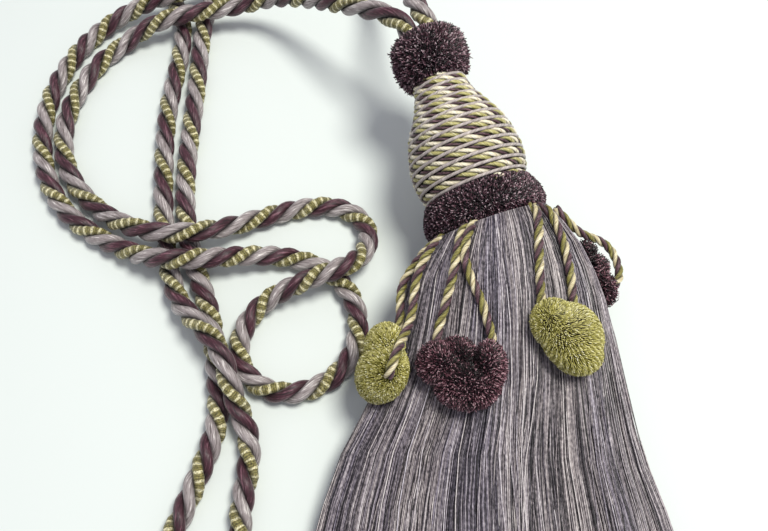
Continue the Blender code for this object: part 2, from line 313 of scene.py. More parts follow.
def pileFinish(name, stops, rootShadeColour):
    # cut or looped pile: each tuft has its own tone, and painted shade darkens its foot, which lies in the
    # shade of its neighbours
    finish, tree, shader = newFinish(name, 0.85, 0.35, 0.15)
    tone, shade = (addNode(tree, "ShaderNodeAttribute", attribute_name=name).outputs["Fac"]
                   for name in ("tone", "shade"))
    colour = ramp(tree, tone, stops)
    tip = addNode(tree, "ShaderNodeMix", {0: shade, 6: linear(rootShadeColour), 7: colour}, data_type="RGBA")
    tree.links.new(tip.outputs[2], shader.inputs["Base Color"])
    return finish


def stretch(tree, scale):
    place = addNode(tree, "ShaderNodeTexCoord").outputs["Object"]
    return addNode(tree, "ShaderNodeMapping", {"Vector": place, "Scale": scale}).outputs[0]


def yarnFinish(name, values):
    # viscose skirt yarn, lightly twisted: tone is its lightness, partly its own and partly painted light and
    # shade (see looseYarns), shade its lean to violet, and a painted glint comes and goes about every
    # millimetre, as from the twist
    finish, tree, shader = newFinish(name, 0.38, 0.1, 0.6)
    tone, shade = (addNode(tree, "ShaderNodeAttribute", attribute_name=name).outputs["Fac"]
                   for name in ("tone", "shade"))
    glint = noise(tree, stretch(tree, (900.0, 600.0, 900.0)), 1.0, 1.0)
    spread = maths(tree, "MULTIPLY_ADD", glint, values["glint"], tone)
    level = maths(tree, "SUBTRACT", spread, values["glint"] / 2)
    grey, violet = ramp(tree, level, values["greys"]), ramp(tree, level, values["violets"])
    colour = addNode(tree, "ShaderNodeMix", {0: shade, 6: grey, 7: violet}, data_type="RGBA")
    tree.links.new(colour.outputs[2], shader.inputs["Base Color"])
    return finish


def shadedYarnFinish(name, colour):
    # the imported yarn under the loose ones, seen only in the gaps between them; also under the windings and
    # the pile.
    # Its dark colour, streaked towards near black along its grain, is painted shade
    finish, tree, shader = newFinish(name, 0.9, 0.0, 0.1)
    grain = noise(tree, stretch(tree, (1.0, 0.05, 1.0)), 1100.0, 2.0)
    tint = ramp(tree, grain, ((0.3, "#0c0a0e"), (0.7, colour)))
    tree.links.new(tint, shader.inputs["Base Color"])
    return finish


# camera

view = {"place": (-0.048, -0.1575, 0.368), "tiltDeg": 27.0, "lensMm": 36.56, "sensorMm": 36.0}
cameraData = bpy.data.cameras.new("camera")
cameraData.lens = view["lensMm"]
cameraData.sensor_width = view["sensorMm"]
camera = bpy.data.objects.new("camera", cameraData)
camera.location = view["place"]
camera.rotation_euler = (math.radians(view["tiltDeg"]), 0, 0)
bpy.context.scene.collection.objects.link(camera)
bpy.context.scene.camera = camera


# the rope

ropeValues = {
    "diameter": 0.011,
    "plyRadius": 0.00262,
    "plyOffset": 0.00288,
    "startTurn": 0.417,        # where the plum ply starts, in turns
    "rowStep": 0.0018,
    "gimpStep": 0.00068,
    "sides": 12,
    "intoRuff": 0.008,         # how far each end goes on inside the upper ruff
    "gimpRib": 0.055,          # rise of each cream band, as a share of the ply's radius
    "swell": 0.02,             # how much a plain ply thickens and thins, and over what length
    "swellLength": 0.0117,
    "fibre": {"radiusMm": 2.6, "fibreMm": 0.75, "leadMm": -24.0},
}
gimpValues = {
    "bandMm": 3.5,
    "threads": 7,
    "olive": "#857d45",
    # painted highlight on the olive threads' crowns
    "oliveCrownHighlight": "#aba266",
    "cream": "#fff8cd",
    # painted shade: on the cream threads' flanks, between the threads, and in the grooves between plies
    "edge": "#d6cb8d",
    "dark": "#5a5327",
    "grooveShadeColour": "#241f0d",
}
# the rope's route in mm: its first arm, from the neck round the left loops to the upper bend
firstArm = (
    (-35, 128, 66.8), (-38, 133, 68), (-44, 139.5, 67.5), (-57, 151, 61.5), (-74, 166, 51),
    (-95, 183, 38), (-115, 194, 27), (-136, 197, 18.5), (-159, 193, 17.5), (-179, 187.5, 17),
    (-207, 176.5, 6), (-228, 140, 5.5), (-230, 107, 5.5), (-217, 76, 5.5), (-200, 59, 7),
    (-181, 46, 14), (-161, 40, 17.5), (-143, 41, 17.5), (-128, 48, 11), (-88, 62.5, 5.5),
    (-71, 61.5, 5.5), (-59, 52.5, 5.5), (-56.5, 38.5, 9), (-63, 25, 15), (-77, 17, 17.5), (-92, 12, 14),
    (-110, 3, 8), (-119, -12, 5.5), (-117, -29, 5.5), (-104, -40, 5.5), (-84, -40, 5.5),
    (-66, -26, 5.5), (-61, -6, 5.5), (-67, 13, 5.5), (-88, 29, 5.5), (-127, 28, 14), (-144, 25, 17.5),
    (-160, 25, 17.5), (-180, 33, 10), (-218.8, 58.6, 5.5), (-242, 107, 5.5), (-237.5, 161, 5.5),
    (-216, 194, 7),
)
# its second arm: over the upright pair, round the upper bend, down the pair and back to the neck
secondArm = (
    (-199, 202, 12), (-183, 206, 16.5), (-167, 212, 17.5), (-152, 223.5, 17.5), (-141, 238, 17.5),
    (-140.5, 255, 15.5), (-151.5, 268.5, 8), (-169, 272, 5.5), (-184.5, 263, 5.5), (-190.5, 247, 5.5),
    (-187, 229, 5.5), (-175, 203, 5.5), (-173, 136, 5.5), (-170.5, 87, 5.5), (-161, 30, 5.5),
    (-150, 3, 10), (-137, -12, 17), (-126, -26, 17.5), (-120, -42, 16), (-111, -66, 5.5),
    (-112, -104, 5.5), (-108, -125, 5.5), (-108, -140.5, 5.5), (-117.5, -152, 5.5), (-132, -155, 5.5),
    (-145.5, -147, 5.5), (-150, -133, 5.5), (-146, -119, 5.5), (-135, -87, 5.5), (-127, -52, 5.5),
    (-130, -30, 5.5), (-134, -8, 5.5), (-149, 34, 5.5), (-156.5, 70, 5.5), (-158.5, 143, 5.5),
    (-158.5, 205, 5.5), (-145, 243, 5.5), (-126, 251, 5.5), (-92, 246, 6), (-64, 229, 17),
    (-46, 200, 38), (-37, 168, 60), (-31, 146, 69), (-24, 131.5, 67),
)
# the twist is uneven: metres along the route, and turns to the left up to there
twistTurns = np.array((
    (-0.04, -1.1), (0.0, 0.0), (0.05, 1.1), (0.15, 4.0), (0.183, 5.0), (0.447, 12.0), (0.503, 14.0),
    (0.616, 18.0), (0.760, 23.0), (0.815, 25.0), (0.879, 27.0), (0.946, 29.0), (1.015, 31.0),
    (1.074, 33.0), (1.279, 39.0), (1.393, 42.0), (1.542, 46.0), (1.604, 48.0), (1.758, 53.0),
    (1.814, 55.0), (1.896, 58.0), (1.957, 60.0), (2.031, 62.0), (2.30, 70.0), (2.34, 71.2),
))
upward = np.array([0.0, 0.0, 1.0])


def ropePly(step, turn, radius, values, finish):
    # a ply's middle winds left-handed round the rope's: path + offset * (cos p * side + sin p * over),
    # p = -2 pi * (turns up to there + its own share of a turn)
    path = smoothCurve(np.array(firstArm + secondArm) * mm, step)
    path[:, 2] = np.maximum(path[:, 2], values["plyRadius"] * 1.02 + values["plyOffset"])
    heading = unit(np.gradient(path, axis=0))
    into = values["intoRuff"] * np.array([[1.0], [0.5]])
    path = np.vstack([path[0] - into * heading[0], path, path[-1] + into[::-1] * heading[-1]])
    heading, side, over = framesAlong(path, upward)
    along = lengthAlong(path)
    turns = np.interp(along - values["intoRuff"], twistTurns[:, 0], twistTurns[:, 1])
    phase = -math.tau * (turns + turn)
    swing = np.cos(phase)[:, None] * side + np.sin(phase)[:, None] * over
    middle = path + values["plyOffset"] * swing
    full = values["plyRadius"] * radius(along)
    return path, bundle(middle[None], swing[None], full[None], values["sides"], finish)


def plainPly(along):
    # a ply's radius along it, as a share of its own: 1 + swell * sin(along / length)
    return 1 + ropeValues["swell"] * np.sin(along / ropeValues["swellLength"])


def ribbedPly(along):
    # the same for the gimp, which stands up at each cream band: 0.97 + rib * cos(2 pi along / band)
    return 0.97 + ropeValues["gimpRib"] * np.cos(math.tau * along / (gimpValues["bandMm"] * mm))


fibre = ropeValues["fibre"]
ropeFinishes = [
    plyFinish("plum viscose ply, spun and twisted", "#1b0910", "#43202b", "#855c68", "#100407", **fibre),
    plyFinish("grey viscose ply, spun and twisted", "#5f5654", "#9a9090", "#e6e0dc", "#332b2b", **fibre),
    gimpFinish("olive and cream gimp ply, thread wrapped", gimpValues),
]
ropeParts = []
ropePlies = (("rowStep", plainPly), ("rowStep", plainPly), ("gimpStep", ribbedPly))
for ply, (step, radius) in enumerate(ropePlies):
    ropePath, part = ropePly(ropeValues[step], ropeValues["startTurn"] - ply / 3, radius, ropeValues, ply)
    ropeParts.append(part)
rope = buildMesh("threePlyRope", ropeParts, ropeFinishes)
settle(rope, "rope_yarn", "rope")


# the skirt's form, which its yarns and the drops follow

# from the ruff to the cut end: the middle's x, y and z, half width and half height in mm, then how far
# the heading swings to +X and dips, in degrees
skirtRows = np.array((
    (3.6, 34.4, 33.9, 29.0, 29.0, 19.0, 18.0),
    (5.5, 21.0, 30.5, 38.5, 30.0, 13.0, 14.0),
    (7.5, 5.0, 27.5, 45.0, 28.5, 4.0, 11.0),
    (8.0, -15.0, 24.0, 49.5, 26.0, 0.0, 9.0),
    (6.0, -50.0, 19.0, 57.0, 20.5, -3.0, 6.0),
    (1.5, -75.0, 16.0, 66.0, 17.5, -3.0, 4.0),
    (0.0, -106.0, 13.2, 75.5, 14.6, 0.0, 2.0),
    (0.0, -133.0, 12.0, 80.0, 13.4, 0.0, 0.0),
))
skirtEnd = len(skirtRows) - 1
lockWaves = ((9, 0.6, 0.40), (14, 2.3, 0.34), (23, 4.1, 0.26))   # count round the skirt, phase, share
lockDepth = 0.0017             # how far their crests stand up at the cut end


def skirtRow(down):
    # a row of the table at any place between its rows, eased with a cubic
    i = np.clip(np.floor(down).astype(int), 0, skirtEnd - 1)
    part = (down - i)[..., None]
    before, here, after, last = (skirtRows[np.clip(i + k, 0, skirtEnd)] for k in (-1, 0, 1, 2))
    bend = 2 * before - 5 * here + 4 * after - last + part * (3 * (here - after) + last - before)
    return here + 0.5 * part * (after - before + part * bend)


def skirtPoint(down, angle, lift):
    # centre + side * sin a * half width + up * cos a * half height, raised by the locks and by lift;
    # the second result is the way out of the skirt there
    down, angle, lift = np.broadcast_arrays(down, angle, lift)
    row = skirtRow(down)
    middle = row[..., :3] * mm
    width, height = row[..., 3] * mm, row[..., 4] * mm
    turn, dip = np.radians(row[..., 5]), np.radians(row[..., 6])
    flat = np.zeros_like(turn)
    heading = np.stack([np.cos(dip) * np.sin(turn), -np.cos(dip) * np.cos(turn), -np.sin(dip)], axis=-1)
    side = np.stack([np.cos(turn), np.sin(turn), flat], axis=-1)
    up = np.cross(heading, side)
    locks = sum(part * np.sin(count * angle + phase) for count, phase, part in lockWaves)
    rise = lockDepth * down / skirtEnd * locks
    across, over = np.sin(angle)[..., None] * side, np.cos(angle)[..., None] * up
    outward = unit(across / width[..., None] + over / height[..., None])
    point = middle + across * (width + rise)[..., None] + over * (height + rise)[..., None]
    return point + lift[..., None] * outward, outward


# the drops' cords, three fine plies each

dropValues = {
    "diameter": 0.0044,
    "plyRadius": 0.00112,
    "plyOffset": 0.00112,
    "pitch": 0.0150,           # twisted to the right
    "rowStep": 0.0008,
    "sides": 9,
    "gap": 0.0003,             # between a leg and the skirt under it
    "locksRise": 0.0009,       # room for the crests of the skirt's locks
    "fromRuff": 0.02,          # place down the skirt where the legs come out from under the ruff
    "backInRuff": 0.005,       # how far back along the skirt and how far in each leg starts, in the ruff
    "downInRuff": 0.004,
    "sunkAtRuff": 0.0042,      # how far under its height a leg leaves the ruff
    "risesIn": 0.09,           # the share of its length that it rises in
    "intoPile": 0.30,          # how much further down each leg goes, inside its rosette's pile
    "fibre": {"radiusMm": 1.1, "fibreMm": 0.60, "leadMm": -14.0},
}
# each leg: angle at the ruff, angle and place down the skirt at the rosette, sideways bow, first turn
dropLegs = {
    "drop_cord_left_1": (-72.0, -68.0, 3.00, -9.0, 0.10),
    "drop_cord_left_2": (-66.0, -57.0, 3.05, 0.5, 0.45),
    "drop_cord_front_1": (-37.0, -36.0, 3.22, 5.0, 0.20),
    "drop_cord_front_2": (-28.5, -9.0, 3.35, -6.0, 0.60),
    "drop_cord_right_1": (31.0, 15.5, 2.75, -4.0, 0.30),
    "drop_cord_right_2": (41.0, 35.0, 2.70, 0.0, 0.75),
    "drop_cord_back_1": (99.0, 102.0, 1.10, 0.0, 0.0),
}
# one leg goes on over its rosette's face and dips in there, in mm
dropFaceRun = (
    (-40.2, -31.5, 48.0), (-42.0, -37.0, 51.2), (-43.8, -42.0, 52.0), (-45.2, -45.5, 51.0),
    (-46.0, -47.8, 47.5),
)
# the one leg that springs clear of the skirt before it turns in to its rosette, in mm
dropFreeLeg = (
    (36.5, 42.5, 38), (42, 37.5, 35), (48, 34, 30.5), (54.5, 33, 26), (60, 33, 22.5), (65, 31, 20),
    (68.5, 26, 18.5), (70, 20, 17.5), (69.5, 14, 17), (66.0, 9.5, 17), (60.5, 8, 17.5),
)
fibre = dropValues["fibre"]
fineCordFinishes = [
    plyFinish("cream viscose ply, fine", "#95855f", "#dacda4", "#fff8dc", "#45391f", **fibre),
    plyFinish("plum viscose ply, fine", "#27141a", "#573a42", "#8d6b74", "#12070a", **fibre),
    plyFinish("olive viscose ply, fine", "#48431b", "#88813f", "#c3bc78", "#211d09", **fibre),
]


def threeFinePlies(path, outward, values, firstTurn, sides):
    # three plies wound right-handed round one path, a third of a turn apart
    _, side, over = framesAlong(path, outward)
    turn = lengthAlong(path) / values["pitch"] + firstTurn
    parts = []
    radii = np.broadcast_to(values["plyRadius"], 3)
    for ply in range(3):
        phase = math.tau * (turn - ply / 3)
        swing = np.cos(phase)[:, None] * side + np.sin(phase)[:, None] * over
        middle = path + values["plyOffset"] * swing
        parts.append(bundle(middle[None], swing[None], radii[ply], sides, ply))
    return parts


def dropCord(node, path, firstTurn):
    # a leg's three plies, in place of its CAD node; it runs from the ruff's pile to its rosette's
    plies = threeFinePlies(path, upward, dropValues, firstTurn, dropValues["sides"])
    piece = buildMesh(node.replace("drop_cord", "fineCord"), plies, fineCordFinishes)
    settle(piece, "drop_cord", node)


def legPath(node, startDeg, endDeg, downEnd, bowDeg):
    # round the skirt: start + (end - start) * share + bow * sin(pi * share), and evenly down it,
    # sunk by the ruff: sunk * exp(-(share / risesIn)^2)
    share = np.linspace(0, 1, 15)
    angle = np.radians(startDeg + (endDeg - startDeg) * share + bowDeg * np.sin(np.pi * share))
    down = dropValues["fromRuff"] + (downEnd - dropValues["fromRuff"]) * share
    sunk = dropValues["sunkAtRuff"] * np.exp(-(share / dropValues["risesIn"]) ** 2)
    lift = dropValues["diameter"] / 2 + dropValues["gap"] + dropValues["locksRise"] - sunk
    points, outward = skirtPoint(down, angle, lift)
    back = dropValues["backInRuff"] * unit(points[1] - points[0])
    hidden = points[0] - back - dropValues["downInRuff"] * outward[0]
    points = np.vstack([hidden, points])
    if node == "drop_cord_left_2":
        points = np.vstack([points[:-1], np.array(dropFaceRun) * mm])
    elif node != "drop_cord_back_1":    # that one is inside its rosette already
        deeper = np.array([downEnd + dropValues["intoPile"]])
        points = np.vstack([points, skirtPoint(deeper, angle[-1:], lift[-1:])[0]])
    return smoothCurve(points, dropValues["rowStep"])


for node, (*course, firstTurn) in dropLegs.items():
    dropCord(node, legPath(node, *course), firstTurn)
dropCord("drop_cord_back_2", smoothCurve(np.array(dropFreeLeg) * mm, dropValues["rowStep"]), 0.35)
print("drops' cords made")


# the skirt: a packed core of yarn and loose yarns over it, gathered in locks

skirtValues = {
    "yarnRadius": 0.00027,
    "rows": 12,
    # each layer of loose yarns: count, lift, its spread, drift in radians, and how much darker it is, as
    # painted shade under the layers over it
    "layers": {
        "skirtInnerYarns": (1600, -0.0008, 0.0006, 0.03, 0.12),
        "skirtOuterYarns": (2600, 0.0, 0.0012, 0.065, 0.0),
        "skirtStrayYarns": (240, 0.0010, 0.0014, 0.15, 0.0),
    },
    "gather": 1.6,             # how strongly yarns draw to the crests of the locks
    "fineGather": 0.75,
    "clump": 0.0006,           # how far the crests of the fine locks stand up
    "waver": 0.006,            # each yarn's own slow wave: to the sides in radians, and up in metres
    "waverUp": 0.0004,
    "coreDepth": 0.0011,
    "coreRows": 40,
    "coreSides": 240,
    "endUneven": 0.0035,
    "meanTone": 0.51,
    "toneSpread": 0.19,
    "lockTone": 0.05,          # how far the tone swings in wide bands round the skirt (its lockWaves); next, the painted shade of the fine locks: how much paler their crests are than their hollows
    "paintedCrestShade": 0.15,
    "lockWaves": ((9, 1.3), (17, 0.4), (31, 5.0)),    # count round the skirt, phase
    "hueWaves": ((7, 2.2), (13, 4.4)),
    "partingAtRuff": 0.65,     # the locks show more and more down the skirt
    "partingMore": 0.55,
    "violetShare": 0.28,
    "greys": ((0.0, "#0e0b0d"), (0.34, "#3a3438"), (0.55, "#887e82"), (0.76, "#b8aeae"), (1.0, "#e4dcda")),
    "violets": ((0.0, "#0c0a10"), (0.34, "#322d3c"), (0.55, "#7c7485"), (0.76, "#aba3b1"), (1.0, "#e2dce6")),
    "glint": 0.75,             # how much each yarn's painted glint comes and goes
}
fineLocks = ((37, 1.1, 0.30), (61, 3.7, 0.35), (97, 2.2, 0.35))    # as lockWaves
draw = np.random.default_rng(7)


def gathered(angle, share):
    # yarns drift to the locks' crests, more so further down: angle + gather * part / count *
    # cos(count * angle + phase), for the wide locks and the fine ones
    coarse = sum(part / count * np.cos(count * angle + phase) for count, phase, part in lockWaves)
    fine = sum(part / count * np.cos(count * angle + phase) for count, phase, part in fineLocks)
    finer = (0.3 + 0.7 * share) * skirtValues["fineGather"] * fine
    return angle + share * skirtValues["gather"] * coarse + finer


def slowWave(share, size, slowest, fastest):
    # each yarn's own wave down its length: size * sin(rate * share + start)
    rate = draw.uniform(slowest, fastest, (len(share), 1))
    return size * np.sin(share * rate + draw.uniform(0, 6.3, (len(share), 1)))


def evenAngles(count):
    # angles spread partly by the skirt's outline at its cut end and partly evenly, fewer underneath
    angle = np.linspace(-np.pi, np.pi, 2001)
    middle = 0.5 * (angle[1:] + angle[:-1])
    wide, high = skirtRows[-1, 3], skirtRows[-1, 4]
    weight = np.hypot(wide * np.cos(middle), high * np.sin(middle)) + 14
    weight *= np.where(np.abs(middle) > 2.0, 0.45, 1.0)
    reached = np.concatenate([[0], np.cumsum(weight)])
    return np.interp((np.arange(count) + draw.random(count)) / count * reached[-1], reached, angle)


def looseYarns(count, lift, liftSpread, drift, layerShade):
    # yarns as tubes: each keeps its angle but for a slow drift and waver, and rises and falls a little; those
    # on the crests of the fine locks lie higher; the tone carries painted light and shade: crests paler than
    # the hollows between them, the skirt's top near the ruff paler, and the layers underneath darker
    start = evenAngles(count)[:, None]
    down = np.linspace(0.0, skirtEnd, skirtValues["rows"]) * np.ones((count, 1))
    share = down / skirtEnd
    slide = draw.normal(0, drift, (count, 1)) * share * np.exp(-0.5 * (start / 1.4) ** 2)
    waver = slowWave(share, skirtValues["waver"], 4, 11) * share
    angle = gathered(start, share) + slide + waver
    crest = sum(part * np.sin(many * start + phase) for many, phase, part in fineLocks)
    rising = lift + liftSpread * draw.random((count, 1)) * np.sqrt(share)
    rising = rising + skirtValues["clump"] * crest * share + slowWave(share, skirtValues["waverUp"], 5, 14)
    path, outward = skirtPoint(down, angle, rising)
    ends = skirtValues["endUneven"] * draw.uniform(-1, 1, (count, 1)) * share ** 6
    path[..., 1] += ends
    floorLift = skirtValues["yarnRadius"] * (1.2 + 1.5 * draw.random((count, 1)))
    path[..., 2] = np.maximum(path[..., 2], floorLift)
    lock = sum(np.sin(many * start + phase) for many, phase in skirtValues["lockWaves"])
    # painted light: the skirt's top near the ruff, towards the key light, is paler, fading down the skirt
    paintedTopLight = 0.10 * np.exp(-0.5 * ((start - 0.25) / 0.35) ** 2) * (1 - share)
    parting = skirtValues["partingAtRuff"] + skirtValues["partingMore"] * share
    own = draw.normal(0, skirtValues["toneSpread"], (count, 1))
    # painted shade: yarns in the fine locks' hollows are darker than those on their crests
    uneven = skirtValues["lockTone"] * lock + skirtValues["paintedCrestShade"] * crest + own
    tone = skirtValues["meanTone"] - layerShade + paintedTopLight + parting * uneven
    hue = sum(np.sin(many * start + phase) for many, phase in skirtValues["hueWaves"])
    hue = hue + draw.normal(0, 0.7, (count, 1))
    violet = np.clip(skirtValues["violetShare"] + 0.26 * hue, 0, 1) * np.ones_like(share)
    return bundle(path, outward, skirtValues["yarnRadius"], 3, 0, np.clip(tone, 0.03, 0.97), violet)


yarn = yarnFinish("grey mauve viscose skirt yarn, loose", skirtValues)
# painted shade: the packed yarn under the loose yarns is dark
coreFinish = shadedYarnFinish("skirt yarn, packed, in painted shade", "#332d33")
coreDown = np.linspace(0.0, skirtEnd - 0.05, skirtValues["coreRows"])[:, None]
core = skirtPoint(coreDown, ring(skirtValues["coreSides"]), -skirtValues["coreDepth"])[0]
core[..., 2] = np.maximum(core[..., 2], 0.0)
corePart = gridPart(core[:, ::-1], lengthAlong(core[:, 0]) / mm, 0.5, 0.0)    # turned to face outwards
settle(buildMesh("skirtPackedYarn", [corePart], [coreFinish]), "grey_yarn", "skirt")
for name, layer in skirtValues["layers"].items():
    settle(buildMesh(name, [looseYarns(*layer)], [yarn]), "grey_yarn")
print("skirt made")


# the head and its two cords

headValues = {
    "centre": (0.001, 0.042, 0.0365),    # the middle of the lower ruff
    "liftDeg": 18.0,
    "leanDeg": 19.0,
    # the thick cord's cream, plum and olive plies
    "thickCord": {"plyRadius": (0.00112, 0.00066, 0.00110), "plyOffset": 0.00098, "pitch": 0.0145},
    "thinRadius": 0.00086,
    "thickSink": 0.00145,      # the cords' middles below the head's outline
    "thinSink": 0.0005,
    "beltRadius": 0.0285,      # where the head is widest, and the spacing of the turns there in mm
    "beltTurn": 5.2,
    "neckRadius": 0.0132,
    "neckTurn": 3.75,
    "windingRows": 1400,
    "coreSink": 0.0024,
    "thickFibre": {"radiusMm": 1.0, "fibreMm": 0.60, "leadMm": -11.0},
    "thinFibre": {"radiusMm": 0.9, "fibreMm": 0.50, "leadMm": 7.0},
}
# in mm: the place along the head's axis from the lower ruff's middle, and the radius
headOutline = ((10.5, 25.6), (16, 27.6), (22, 28.5), (30, 28), (41, 25.3), (50, 20.8), (60, 15.6), (69, 13.2))
lift, lean = math.radians(headValues["liftDeg"]), math.radians(headValues["leanDeg"])
axis = np.array([-math.cos(lift) * math.sin(lean), math.cos(lift) * math.cos(lean), math.sin(lift)])
axisSide = np.array([math.cos(lean), math.sin(lean), 0.0])
axisUp = np.cross(axisSide, axis)


def outlineRadius(outline, place):
    # radius at a place along the axis, both in metres, on a smooth curve through the outline's points
    curve = smoothCurve(np.array([(a, r, 0) for a, r in outline]) * mm, 0.0005)
    return np.interp(place, curve[:, 0], curve[:, 1])


def aboutAxis(place, radius, angle):
    # a point at an angle round the head's axis from its top towards +X, and the way out there
    outward = np.cos(angle)[..., None] * axisUp + np.sin(angle)[..., None] * axisSide
    return np.array(headValues["centre"]) + place[..., None] * axis + radius[..., None] * outward, outward


def turnedBody(name, outline, sink, finish, rows=40, sides=96):
    # a turned body under the windings or the pile
    place = np.linspace(outline[0][0], outline[-1][0], rows) * mm
    radius = (outlineRadius(outline, place) - sink)[:, None]
    grid = aboutAxis(place[:, None], radius, ring(sides))[0]
    return buildMesh(name, [gridPart(grid, place / mm)], [finish])


outlineStart, outlineEnd = headOutline[0][0] * mm, headOutline[-1][0] * mm
places = np.linspace(outlineStart - 0.001, outlineEnd + 0.001, 400)
neck, belt = headValues["neckRadius"], headValues["beltRadius"]
fullness = np.clip((outlineRadius(headOutline, places) - neck) / (belt - neck), 0, 1)
spacing = (headValues["neckTurn"] + (headValues["beltTurn"] - headValues["neckTurn"]) * fullness) * mm
turnsTo = np.concatenate([[0], np.cumsum(np.diff(places) / spacing[1:])])


def windingPath(sink, offsetTurn):
    # a helix on the head's outline whose turns spread where the head is wide; it rises to the right
    turns = np.linspace(0.02, turnsTo[-1] - 0.02, headValues["windingRows"])
    place = np.interp(turns, turnsTo, places)
    radius = outlineRadius(headOutline, place) - sink
    return aboutAxis(place, radius, math.tau * (turns + offsetTurn))


# painted shade: the yarn under the windings is dark
wallFinish = shadedYarnFinish("yarn under the windings, in painted shade", "#3a2f2c")
headCore = turnedBody("headCore", headOutline, headValues["coreSink"], wallFinish)
settle(headCore, "wound_cord", "head")
thickPath, thickOut = windingPath(headValues["thickSink"], 0.0)
fibre = headValues["thickFibre"]
windingFinishes = [
    plyFinish("cream viscose ply, wound", "#b9ab85", "#f5ecd0", "#fffdf4", "#54452a", **fibre),
    plyFinish("plum viscose ply, wound", "#27151a", "#54373f", "#98757d", "#0e0507", **fibre),
    plyFinish("olive viscose ply, wound", "#756f3d", "#bbb473", "#f3edc4", "#2b270e", **fibre),
]
thickPlies = threeFinePlies(thickPath, thickOut, headValues["thickCord"], 0.0, 7)
settle(buildMesh("thickWinding", thickPlies, windingFinishes), "wound_cord")
thinPath, thinOut = windingPath(headValues["thinSink"], 0.5)
fibre = headValues["thinFibre"]
thinFinish = plyFinish("grey viscose cord, fine", "#786d68", "#b5aaa6", "#e8dfd9", "#3a302d", **fibre)
thinCord = bundle(thinPath[None], thinOut[None], headValues["thinRadius"], 9)
settle(buildMesh("thinWinding", [thinCord], [thinFinish]), "wound_cord")
print("head wound:", round(float(turnsTo[-1]), 1), "turns")


# cut pile: ruffs and rosettes

pileValues = {
    "tuftRadius": 0.00031,     # the ruffs' tufts, and how far they stray from straight out
    "lean": 0.20,
    "toneSpread": 0.30,
    "groundPoints": 8,         # the ruffs' ground: its share of their outline, and how far inside it
    "groundSink": 0.0022,
    "groundRows": 24,
    "padClearance": 0.0030,    # a rosette's foot above the skirt
    "padDepth": 0.0024,        # its pile's depth over its ground
    "rootDepth": 0.0012,       # how much deeper its tufts start
    "padReach": 1.72,          # how much of each lobe has pile, from its top; 2 is all of it
    "overlap": 0.92,           # tips nearer another lobe's middle than this, squared, are left out
    "hollowMm": 6.5,           # width of the painted shade in the hollow about a cord's entry
    "fanRows": 72,             # rows of tufts round that entry
    "padTone": 0.52,
    "jitterMm": 0.12,
    "lobeRows": 14,
    "lobeSides": 36,
}
plumStops = ((0.0, "#050204"), (0.44, "#26131c"), (0.65, "#573440"), (0.83, "#8d6975"), (1.0, "#c3a7af"))
# painted shade: the tufts' cut ends, seen end on, are darker than their sides
plumEndShadeStops = ((0.0, "#040203"), (0.52, "#1b1015"), (0.74, "#48333f"), (0.90, "#83727c"), (1.0, "#cabdc4"))
redPlumStops = ((0.0, "#050203"), (0.42, "#27131a"), (0.62, "#643c47"), (0.82, "#a27681"), (1.0, "#d2adb5"))
oliveStops = ((0.0, "#5a561f"), (0.25, "#8f893f"), (0.52, "#bbb466"), (0.78, "#e0d997"), (1.0, "#fdf9d2"))
plumPile = pileFinish("plum viscose cut pile", plumStops, "#070305")
plumPileEndShade = pileFinish("plum viscose cut pile, its cut ends in painted shade", plumEndShadeStops, "#040203")
redPlumPile = pileFinish("plum viscose looped pile", redPlumStops, "#0b0407")
olivePile = pileFinish("olive viscose looped pile", oliveStops, "#2f2c0f")


def tufts(tips, outward, length, radius, tone, lean, endFinish=0):
    # short tapering tubes from length under each tip up to it
    way = unit(outward + draw.normal(0, lean, tips.shape))
    path = np.stack([tips - way * length, tips], axis=1)
    flat = np.repeat(unit(np.cross(way, [0.31, 0.72, 0.62]))[:, None], 2, axis=1)
    rootToTip = np.array([0.0, 1.0]) * np.ones((len(tips), 1))
    taper = radius * np.array([1.05, 0.8])
    return bundle(path, flat, taper, 3, 0, tone[:, None] * np.ones(2), rootToTip, endFinish)


def ruffTufts(outline, count, length, ragged, meanTone):
    # tips spread evenly by area over a turned outline, at uneven depths, square to it
    curve = smoothCurve(np.array([(a, r, 0) for a, r in outline]) * mm, 0.0004)
    tangent = unit(np.gradient(curve[:, :2], axis=0))
    steps = np.linalg.norm(np.diff(curve, axis=0), axis=1)
    area = np.concatenate([[0], np.cumsum(steps * curve[1:, 1])])
    stations = np.arange(len(curve))
    pick = np.interp(draw.random(count) * area[-1], area, stations)
    place, radius = (np.interp(pick, stations, curve[:, k]) for k in (0, 1))
    run, rise = (np.interp(pick, stations, tangent[:, k]) for k in (0, 1))
    angle = draw.random(count) * math.tau
    depth = draw.normal(0, ragged, count)
    point, away = aboutAxis(place, radius + depth, angle)
    outward = unit(run[:, None] * away - rise[:, None] * axis)
    tone = np.clip(draw.normal(meanTone, pileValues["toneSpread"], count), 0, 1)
    return tufts(point, outward, length, pileValues["tuftRadius"], tone, pileValues["lean"], 1)


# each ruff: its outline as the head's, then its tufts
ruffs = {
    "lower_ruff": {
        "outline": ((-9.2, 23), (-8.6, 27.4), (-6, 30.2), (-2, 30.9), (2.5, 30.2), (7, 28.2), (10.6, 25.6),
                    (11.4, 22.4)),
        "tufts": 12500, "length": 0.0030, "ragged": 0.00024, "meanTone": 0.50,
    },
    "top_ruff": {
        "outline": ((69.0, 12.5), (69.8, 15.2), (73, 17.4), (79, 19), (86, 19), (92, 17.4), (95.8, 13),
                    (96.6, 7), (96.8, 1.5)),
        "tufts": 9000, "length": 0.0036, "ragged": 0.00075, "meanTone": 0.56,
    },
}
